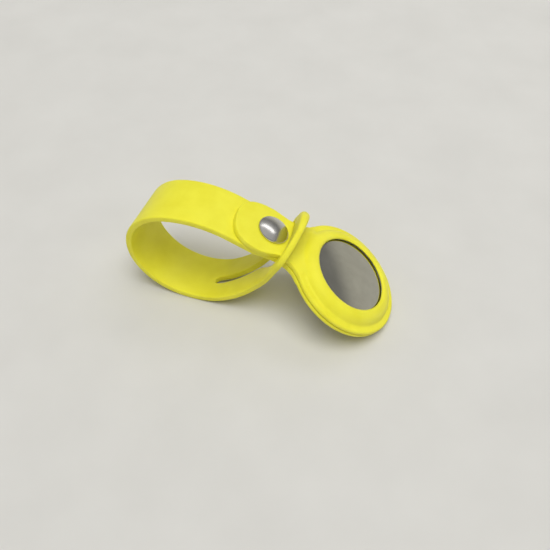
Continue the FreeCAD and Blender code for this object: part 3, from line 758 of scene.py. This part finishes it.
class Finish:
    """Procedural material in object coordinates."""

    def __init__(self, name):
        self.material = bpy.data.materials.new(name)
        self.material.use_nodes = True
        tree = self.material.node_tree
        self.nodes = tree.nodes
        self.links = tree.links
        self.shader = tree.nodes["Principled BSDF"]
        self.coords = tree.nodes.new("ShaderNodeTexCoord").outputs["Object"]

    def set(self, name, value):
        self.shader.inputs[name].default_value = value

    def noise(self, scale, detail, stretch=EVEN):
        mapping = self.nodes.new("ShaderNodeMapping")
        mapping.inputs["Scale"].default_value = stretch
        self.links.new(self.coords, mapping.inputs["Vector"])
        texture = self.nodes.new("ShaderNodeTexNoise")
        texture.inputs["Scale"].default_value = scale
        texture.inputs["Detail"].default_value = detail
        self.links.new(mapping.outputs["Vector"], texture.inputs["Vector"])
        return texture.outputs["Fac"]

    def colour(self, source, low, high):
        node = self.nodes.new("ShaderNodeValToRGB")
        ends = node.color_ramp.elements
        ends[0].position = RAMP_LOW
        ends[0].color = (*low, 1)
        ends[1].position = RAMP_HIGH
        ends[1].color = (*high, 1)
        self.links.new(source, node.inputs["Fac"])
        self.links.new(node.outputs["Color"], self.shader.inputs["Base Color"])

    def roughness(self, source, low, high):
        node = self.nodes.new("ShaderNodeMapRange")
        node.inputs["To Min"].default_value = low
        node.inputs["To Max"].default_value = high
        self.links.new(source, node.inputs["Value"])
        self.links.new(node.outputs["Result"], self.shader.inputs["Roughness"])

    def relief(self, source, strength, distance):
        node = self.nodes.new("ShaderNodeBump")
        node.inputs["Strength"].default_value = strength
        node.inputs["Distance"].default_value = distance
        self.links.new(source, node.inputs["Height"])
        self.links.new(node.outputs["Normal"], self.shader.inputs["Normal"])


def silicone():
    finish = Finish("yellow_silicone")
    finish.colour(finish.noise(scale=180, detail=4), (0.77, 0.72, 0.030), (0.83, 0.785, 0.046))
    finish.roughness(finish.noise(scale=420, detail=5), 0.40, 0.56)
    finish.relief(finish.noise(scale=2600, detail=3), strength=0.08, distance=0.06 * MM)
    finish.set("Subsurface Weight", 0.12)
    finish.set("Subsurface Radius", (1.0, 0.8, 0.12))
    finish.set("Subsurface Scale", 1.2 * MM)
    finish.set("Specular IOR Level", 0.5)
    return finish.material


def metal(name, low, high, smooth, rough, bump, stretch=EVEN):
    finish = Finish(name)
    finish.colour(finish.noise(scale=260, detail=5), low, high)
    finish.roughness(finish.noise(scale=340, detail=6), smooth, rough)
    finish.relief(finish.noise(scale=1800, detail=2, stretch=stretch), bump, distance=0.02 * MM)
    finish.set("Metallic", 1.0)
    return finish.material


def plastic(name, low, high, smooth, rough, bump, scale, coat=0.0):
    finish = Finish(name)
    finish.colour(finish.noise(scale, detail=4), low, high)
    finish.roughness(finish.noise(scale * 3, detail=4), smooth, rough)
    finish.relief(finish.noise(scale * 8, detail=2), bump, distance=0.03 * MM)
    finish.set("Coat Weight", coat)
    return finish.material


FINISHES = {
    "silicone": silicone(),
    "snap_metal": metal("snap_nickel", (0.66, 0.645, 0.62), (0.74, 0.725, 0.70), 0.16, 0.28, bump=0.05),
    "spring_steel": metal("spring_wire", (0.5, 0.5, 0.5), (0.62, 0.62, 0.62), 0.2, 0.35, bump=0.1),
    "mirror_steel": metal("mirror_steel", (0.62, 0.61, 0.56), (0.69, 0.68, 0.63), 0.06, 0.15, bump=0.01),
    "white_plastic": plastic("white_gloss", (0.82, 0.82, 0.81), (0.87, 0.87, 0.86), 0.28, 0.38, bump=0.02, scale=150),
    "frame_plastic": plastic("antenna_plastic", (0.03, 0.03, 0.032), (0.06, 0.06, 0.063), 0.4, 0.6, bump=0.15,
                             scale=400),
    "board": plastic("solder_mask", (0.012, 0.09, 0.035), (0.03, 0.16, 0.06), 0.25, 0.45, bump=0.12, scale=700,
                     coat=0.2),
    "tin_plate": metal("tin_plate", (0.55, 0.55, 0.53), (0.68, 0.68, 0.66), 0.25, 0.42, bump=0.15, stretch=(8, 1, 1)),
    "copper": metal("copper_wire", (0.55, 0.24, 0.11), (0.72, 0.36, 0.18), 0.25, 0.4, bump=0.3, stretch=(1, 1, 12)),
    "nickel": metal("magnet_nickel", (0.42, 0.42, 0.41), (0.52, 0.52, 0.51), 0.2, 0.36, bump=0.1),
    "cell_steel": metal("cell_steel", (0.52, 0.52, 0.51), (0.66, 0.66, 0.65), 0.22, 0.38, bump=0.18,
                        stretch=(14, 1, 1)),
    "gasket": plastic("gasket_plastic", (0.018, 0.018, 0.02), (0.04, 0.04, 0.044), 0.5, 0.7, bump=0.12, scale=500),
}


def dress(obj, slot):
    obj.data.materials.clear()
    obj.data.materials.append(FINISHES[slot])


slots = {part["node"]: part["material_slot"] for part in frame["record"]["subparts"]}
for name, obj in frame["nodes"].items():
    dress(obj, slots[name])
for obj in (front_skin, rear_skin, strap):
    dress(obj, "silicone")
dress(disc, "mirror_steel")

# Floor
FLOOR_SIZE_M = 6
FLOOR_LEVEL_M = -0.00005

bpy.ops.mesh.primitive_plane_add(size=FLOOR_SIZE_M, location=(0, 0, FLOOR_LEVEL_M))
floor = bpy.context.object
floor.name = "floor"
pale = Finish("pale_floor")
pale.colour(pale.noise(scale=40, detail=4), (0.61, 0.60, 0.57), (0.64, 0.63, 0.60))
pale.set("Roughness", 0.75)
floor.data.materials.append(pale.material)

# Lamps: an even overhead light, and a strip whose streak shows on the snap
AIM = Vector((0, 0, 0.015))
OVERHEAD_AT = (0.06, -0.13, 0.51)
STRIP_AT = (0.187, 0.268, 0.503)
STRIP_ROLL = 19


def aimed(name, data, spot, roll=0.0):
    """Lamp at a spot, turned to the object."""
    lamp = bpy.data.objects.new(name, data)
    facing = (AIM - Vector(spot)).to_track_quat("-Z", "Y").to_matrix() @ Matrix.Rotation(math.radians(roll), 3, "Z")
    lamp.matrix_world = Matrix.Translation(spot) @ facing.to_4x4()
    bpy.context.collection.objects.link(lamp)
    return lamp


overhead = bpy.data.lights.new("overhead", "SUN")
overhead.angle = math.radians(42)
overhead.energy = 2.2
aimed("overhead", overhead, OVERHEAD_AT).visible_glossy = False
strip = bpy.data.lights.new("strip", "AREA")
strip.shape = "RECTANGLE"
strip.size, strip.size_y = 0.42, 0.10
strip.energy = 0.25
aimed("strip", strip, STRIP_AT, STRIP_ROLL)

# Surroundings: height, level and warmth of the sky's bands, the lowest in the floor's tone
SKY = [(0.0, 1.20, 0.92), (0.20, 0.89, 0.85), (0.29, 0.90, 0.84), (0.34, 0.38, 0.92), (0.52, 0.38, 0.97),
       (0.75, 0.80, 0.98), (1.0, 0.95, 0.98)]
SKY_STRENGTH = 0.52
GREEN_SHARE = 0.15

world = bpy.data.worlds.new("studio")
scene.world = world
world.use_nodes = True
nodes = world.node_tree.nodes
links = world.node_tree.links
sky = nodes.new("ShaderNodeTexCoord")
split = nodes.new("ShaderNodeSeparateXYZ")
links.new(sky.outputs["Generated"], split.inputs["Vector"])
heights = nodes.new("ShaderNodeValToRGB")
bands = heights.color_ramp.elements
while len(bands) < len(SKY):
    bands.new(0.5)
for band, (height, level, warmth) in zip(bands, SKY):
    band.position = height
    band.color = (level, level * (1 - GREEN_SHARE + GREEN_SHARE * warmth), level * warmth, 1)
links.new(split.outputs["Z"], heights.inputs["Fac"])
links.new(heights.outputs["Color"], nodes["Background"].inputs["Color"])
nodes["Background"].inputs["Strength"].default_value = SKY_STRENGTH
